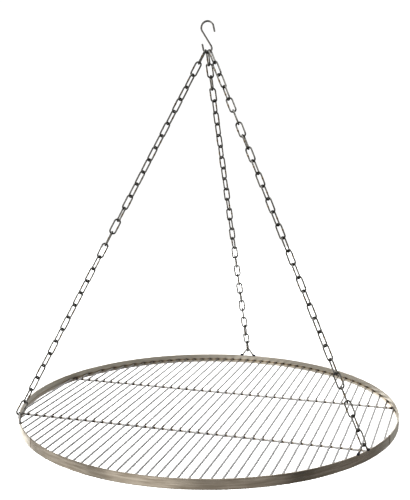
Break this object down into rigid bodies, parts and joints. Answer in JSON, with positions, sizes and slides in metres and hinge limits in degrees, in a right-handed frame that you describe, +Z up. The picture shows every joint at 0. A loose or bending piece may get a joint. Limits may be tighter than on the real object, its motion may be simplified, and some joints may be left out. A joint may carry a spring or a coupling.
{
  "type": "campfire tripod grate",
  "caption": "Round steel cooking grill of parallel rods in a flat-bar rim, hung by long-link chains from one S-shaped hook.",
  "frame": {"origin": "the point inside the hook's upper bend that bears on whatever carries the hook", "axes": "+Z up, +Y away from the cook and along the grill rods, the hook's bends in the XZ plane"},
  "size_m": [0.7998, 0.8049, 0.8219],
  "materials": {
    "hook_steel": "polished wire",
    "rim_steel": "polished, slightly warm flat bar",
    "rod_steel": "drawn wire, satin",
    "eye_steel": "polished wire with darker welded feet",
    "chain_steel": "polished wire"
  },
  "bodies": {
    "hook": {"s_hook": "hook_steel"},
    "grate": {"rim_front_bar": "rim_steel", "rim_back_bar": "rim_steel", "grill_rods": "rod_steel", "cross_bar_front": "rod_steel", "cross_bar_rear": "rod_steel", "eye_left": "eye_steel", "eye_right": "eye_steel", "eye_rear": "eye_steel"},
    "left_links_01": {"left_links_01": "chain_steel"},
    "left_links_02": {"left_links_02": "chain_steel"},
    "left_links_03": {"left_links_03": "chain_steel"},
    "left_links_04": {"left_links_04": "chain_steel"},
    "left_links_05": {"left_links_05": "chain_steel"},
    "left_links_06": {"left_links_06": "chain_steel"},
    "left_links_07": {"left_links_07": "chain_steel"},
    "left_links_08": {"left_links_08": "chain_steel"},
    "left_links_09": {"left_links_09": "chain_steel"},
    "left_links_10": {"left_links_10": "chain_steel"},
    "left_links_11": {"left_links_11": "chain_steel"},
    "left_links_12": {"left_links_12": "chain_steel"},
    "left_links_13": {"left_links_13": "chain_steel"},
    "left_links_14": {"left_links_14": "chain_steel"},
    "left_links_15": {"left_links_15": "chain_steel"},
    "right_links_01": {"right_links_01": "chain_steel"},
    "right_links_02": {"right_links_02": "chain_steel"},
    "right_links_03": {"right_links_03": "chain_steel"},
    "right_links_04": {"right_links_04": "chain_steel"},
    "right_links_05": {"right_links_05": "chain_steel"},
    "right_links_06": {"right_links_06": "chain_steel"},
    "right_links_07": {"right_links_07": "chain_steel"},
    "right_links_08": {"right_links_08": "chain_steel"},
    "right_links_09": {"right_links_09": "chain_steel"},
    "right_links_10": {"right_links_10": "chain_steel"},
    "right_links_11": {"right_links_11": "chain_steel"},
    "right_links_12": {"right_links_12": "chain_steel"},
    "right_links_13": {"right_links_13": "chain_steel"},
    "right_links_14": {"right_links_14": "chain_steel"},
    "right_links_15": {"right_links_15": "chain_steel"},
    "rear_links_01": {"rear_links_01": "chain_steel"},
    "rear_links_02": {"rear_links_02": "chain_steel"},
    "rear_links_03": {"rear_links_03": "chain_steel"},
    "rear_links_04": {"rear_links_04": "chain_steel"},
    "rear_links_05": {"rear_links_05": "chain_steel"},
    "rear_links_06": {"rear_links_06": "chain_steel"},
    "rear_links_07": {"rear_links_07": "chain_steel"},
    "rear_links_08": {"rear_links_08": "chain_steel"},
    "rear_links_09": {"rear_links_09": "chain_steel"},
    "rear_links_10": {"rear_links_10": "chain_steel"},
    "rear_links_11": {"rear_links_11": "chain_steel"},
    "rear_links_12": {"rear_links_12": "chain_steel"},
    "rear_links_13": {"rear_links_13": "chain_steel"},
    "rear_links_14": {"rear_links_14": "chain_steel"},
    "rear_links_15": {"rear_links_15": "chain_steel"}
  },
  "joints": [
    {"name": "grate_swing", "type": "hinge", "parent": "hook", "child": "grate", "pos_m": [0, 0, -0.052], "axis": [0, 1, 0], "range_deg": [-15, 15]},
    {"name": "left_links_01_twist", "type": "hinge", "parent": "grate", "child": "left_links_01", "pos_m": [-0.01598, -0.00648, -0.08092], "axis": [0.4011, 0.2602, 0.8783], "range_deg": [-3, 3]},
    {"name": "left_links_02_twist", "type": "hinge", "parent": "grate", "child": "left_links_02", "pos_m": [-0.03812, -0.02083, -0.1294], "axis": [0.4011, 0.2602, 0.8783], "range_deg": [-8, 8]},
    {"name": "left_links_03_twist", "type": "hinge", "parent": "grate", "child": "left_links_03", "pos_m": [-0.06025, -0.03519, -0.17787], "axis": [0.4011, 0.2602, 0.8783], "range_deg": [-8, 8]},
    {"name": "left_links_04_twist", "type": "hinge", "parent": "grate", "child": "left_links_04", "pos_m": [-0.08239, -0.04955, -0.22634], "axis": [0.4011, 0.2602, 0.8783], "range_deg": [-8, 8]},
    {"name": "left_links_05_twist", "type": "hinge", "parent": "grate", "child": "left_links_05", "pos_m": [-0.10453, -0.06391, -0.27481], "axis": [0.4011, 0.2602, 0.8783], "range_deg": [-8, 8]},
    {"name": "left_links_06_twist", "type": "hinge", "parent": "grate", "child": "left_links_06", "pos_m": [-0.12666, -0.07827, -0.32329], "axis": [0.4011, 0.2602, 0.8783], "range_deg": [-8, 8]},
    {"name": "left_links_07_twist", "type": "hinge", "parent": "grate", "child": "left_links_07", "pos_m": [-0.1488, -0.09263, -0.37176], "axis": [0.4011, 0.2602, 0.8783], "range_deg": [-8, 8]},
    {"name": "left_links_08_twist", "type": "hinge", "parent": "grate", "child": "left_links_08", "pos_m": [-0.17093, -0.10698, -0.42023], "axis": [0.4011, 0.2602, 0.8783], "range_deg": [-8, 8]},
    {"name": "left_links_09_twist", "type": "hinge", "parent": "grate", "child": "left_links_09", "pos_m": [-0.19307, -0.12134, -0.4687], "axis": [0.4011, 0.2602, 0.8783], "range_deg": [-8, 8]},
    {"name": "left_links_10_twist", "type": "hinge", "parent": "grate", "child": "left_links_10", "pos_m": [-0.21521, -0.1357, -0.51718], "axis": [0.4011, 0.2602, 0.8783], "range_deg": [-8, 8]},
    {"name": "left_links_11_twist", "type": "hinge", "parent": "grate", "child": "left_links_11", "pos_m": [-0.23734, -0.15006, -0.56565], "axis": [0.4011, 0.2602, 0.8783], "range_deg": [-8, 8]},
    {"name": "left_links_12_twist", "type": "hinge", "parent": "grate", "child": "left_links_12", "pos_m": [-0.25948, -0.16442, -0.61412], "axis": [0.4011, 0.2602, 0.8783], "range_deg": [-8, 8]},
    {"name": "left_links_13_twist", "type": "hinge", "parent": "grate", "child": "left_links_13", "pos_m": [-0.28161, -0.17878, -0.66259], "axis": [0.4011, 0.2602, 0.8783], "range_deg": [-8, 8]},
    {"name": "left_links_14_twist", "type": "hinge", "parent": "grate", "child": "left_links_14", "pos_m": [-0.30375, -0.19314, -0.71106], "axis": [0.4011, 0.2602, 0.8783], "range_deg": [-8, 8]},
    {"name": "left_links_15_twist", "type": "hinge", "parent": "grate", "child": "left_links_15", "pos_m": [-0.32588, -0.20749, -0.75954], "axis": [0.4011, 0.2602, 0.8783], "range_deg": [-8, 8]},
    {"name": "right_links_01_twist", "type": "hinge", "parent": "grate", "child": "right_links_01", "pos_m": [0.01656, -0.00557, -0.0809], "axis": [-0.4222, 0.2236, 0.8785], "range_deg": [-3, 3]},
    {"name": "right_links_02_twist", "type": "hinge", "parent": "grate", "child": "right_links_02", "pos_m": [0.03986, -0.01791, -0.12937], "axis": [-0.4222, 0.2236, 0.8785], "range_deg": [-8, 8]},
    {"name": "right_links_03_twist", "type": "hinge", "parent": "grate", "child": "right_links_03", "pos_m": [0.06316, -0.03025, -0.17785], "axis": [-0.4222, 0.2236, 0.8785], "range_deg": [-8, 8]},
    {"name": "right_links_04_twist", "type": "hinge", "parent": "grate", "child": "right_links_04", "pos_m": [0.08646, -0.04259, -0.22632], "axis": [-0.4222, 0.2236, 0.8785], "range_deg": [-8, 8]},
    {"name": "right_links_05_twist", "type": "hinge", "parent": "grate", "child": "right_links_05", "pos_m": [0.10975, -0.05493, -0.27479], "axis": [-0.4222, 0.2236, 0.8785], "range_deg": [-8, 8]},
    {"name": "right_links_06_twist", "type": "hinge", "parent": "grate", "child": "right_links_06", "pos_m": [0.13305, -0.06727, -0.32327], "axis": [-0.4222, 0.2236, 0.8785], "range_deg": [-8, 8]},
    {"name": "right_links_07_twist", "type": "hinge", "parent": "grate", "child": "right_links_07", "pos_m": [0.15635, -0.07961, -0.37174], "axis": [-0.4222, 0.2236, 0.8785], "range_deg": [-8, 8]},
    {"name": "right_links_08_twist", "type": "hinge", "parent": "grate", "child": "right_links_08", "pos_m": [0.17965, -0.09194, -0.42022], "axis": [-0.4222, 0.2236, 0.8785], "range_deg": [-8, 8]},
    {"name": "right_links_09_twist", "type": "hinge", "parent": "grate", "child": "right_links_09", "pos_m": [0.20294, -0.10428, -0.46869], "axis": [-0.4222, 0.2236, 0.8785], "range_deg": [-8, 8]},
    {"name": "right_links_10_twist", "type": "hinge", "parent": "grate", "child": "right_links_10", "pos_m": [0.22624, -0.11662, -0.51716], "axis": [-0.4222, 0.2236, 0.8785], "range_deg": [-8, 8]},
    {"name": "right_links_11_twist", "type": "hinge", "parent": "grate", "child": "right_links_11", "pos_m": [0.24954, -0.12896, -0.56564], "axis": [-0.4222, 0.2236, 0.8785], "range_deg": [-8, 8]},
    {"name": "right_links_12_twist", "type": "hinge", "parent": "grate", "child": "right_links_12", "pos_m": [0.27284, -0.1413, -0.61411], "axis": [-0.4222, 0.2236, 0.8785], "range_deg": [-8, 8]},
    {"name": "right_links_13_twist", "type": "hinge", "parent": "grate", "child": "right_links_13", "pos_m": [0.29613, -0.15364, -0.66259], "axis": [-0.4222, 0.2236, 0.8785], "range_deg": [-8, 8]},
    {"name": "right_links_14_twist", "type": "hinge", "parent": "grate", "child": "right_links_14", "pos_m": [0.31943, -0.16598, -0.71106], "axis": [-0.4222, 0.2236, 0.8785], "range_deg": [-8, 8]},
    {"name": "right_links_15_twist", "type": "hinge", "parent": "grate", "child": "right_links_15", "pos_m": [0.34273, -0.17832, -0.75953], "axis": [-0.4222, 0.2236, 0.8785], "range_deg": [-8, 8]},
    {"name": "rear_links_01_twist", "type": "hinge", "parent": "grate", "child": "rear_links_01", "pos_m": [-0.00062, 0.0123, -0.08327], "axis": [0.021, -0.4833, 0.8752], "range_deg": [-3, 3]},
    {"name": "rear_links_02_twist", "type": "hinge", "parent": "grate", "child": "rear_links_02", "pos_m": [-0.00178, 0.03898, -0.13158], "axis": [0.021, -0.4833, 0.8752], "range_deg": [-8, 8]},
    {"name": "rear_links_03_twist", "type": "hinge", "parent": "grate", "child": "rear_links_03", "pos_m": [-0.00294, 0.06566, -0.17989], "axis": [0.021, -0.4833, 0.8752], "range_deg": [-8, 8]},
    {"name": "rear_links_04_twist", "type": "hinge", "parent": "grate", "child": "rear_links_04", "pos_m": [-0.0041, 0.09234, -0.2282], "axis": [0.021, -0.4833, 0.8752], "range_deg": [-8, 8]},
    {"name": "rear_links_05_twist", "type": "hinge", "parent": "grate", "child": "rear_links_05", "pos_m": [-0.00526, 0.11902, -0.27651], "axis": [0.021, -0.4833, 0.8752], "range_deg": [-8, 8]},
    {"name": "rear_links_06_twist", "type": "hinge", "parent": "grate", "child": "rear_links_06", "pos_m": [-0.00641, 0.1457, -0.32482], "axis": [0.021, -0.4833, 0.8752], "range_deg": [-8, 8]},
    {"name": "rear_links_07_twist", "type": "hinge", "parent": "grate", "child": "rear_links_07", "pos_m": [-0.00758, 0.17238, -0.37313], "axis": [0.021, -0.4833, 0.8752], "range_deg": [-8, 8]},
    {"name": "rear_links_08_twist", "type": "hinge", "parent": "grate", "child": "rear_links_08", "pos_m": [-0.00873, 0.19906, -0.42144], "axis": [0.021, -0.4833, 0.8752], "range_deg": [-8, 8]},
    {"name": "rear_links_09_twist", "type": "hinge", "parent": "grate", "child": "rear_links_09", "pos_m": [-0.00989, 0.22574, -0.46975], "axis": [0.021, -0.4833, 0.8752], "range_deg": [-8, 8]},
    {"name": "rear_links_10_twist", "type": "hinge", "parent": "grate", "child": "rear_links_10", "pos_m": [-0.01105, 0.25242, -0.51806], "axis": [0.021, -0.4833, 0.8752], "range_deg": [-8, 8]},
    {"name": "rear_links_11_twist", "type": "hinge", "parent": "grate", "child": "rear_links_11", "pos_m": [-0.01221, 0.2791, -0.56637], "axis": [0.021, -0.4833, 0.8752], "range_deg": [-8, 8]},
    {"name": "rear_links_12_twist", "type": "hinge", "parent": "grate", "child": "rear_links_12", "pos_m": [-0.01337, 0.30578, -0.61469], "axis": [0.021, -0.4833, 0.8752], "range_deg": [-8, 8]},
    {"name": "rear_links_13_twist", "type": "hinge", "parent": "grate", "child": "rear_links_13", "pos_m": [-0.01453, 0.33246, -0.663], "axis": [0.021, -0.4833, 0.8752], "range_deg": [-8, 8]},
    {"name": "rear_links_14_twist", "type": "hinge", "parent": "grate", "child": "rear_links_14", "pos_m": [-0.01569, 0.35914, -0.7113], "axis": [0.021, -0.4833, 0.8752], "range_deg": [-8, 8]},
    {"name": "rear_links_15_twist", "type": "hinge", "parent": "grate", "child": "rear_links_15", "pos_m": [-0.01685, 0.38582, -0.75962], "axis": [0.021, -0.4833, 0.8752], "range_deg": [-8, 8]}
  ]
}
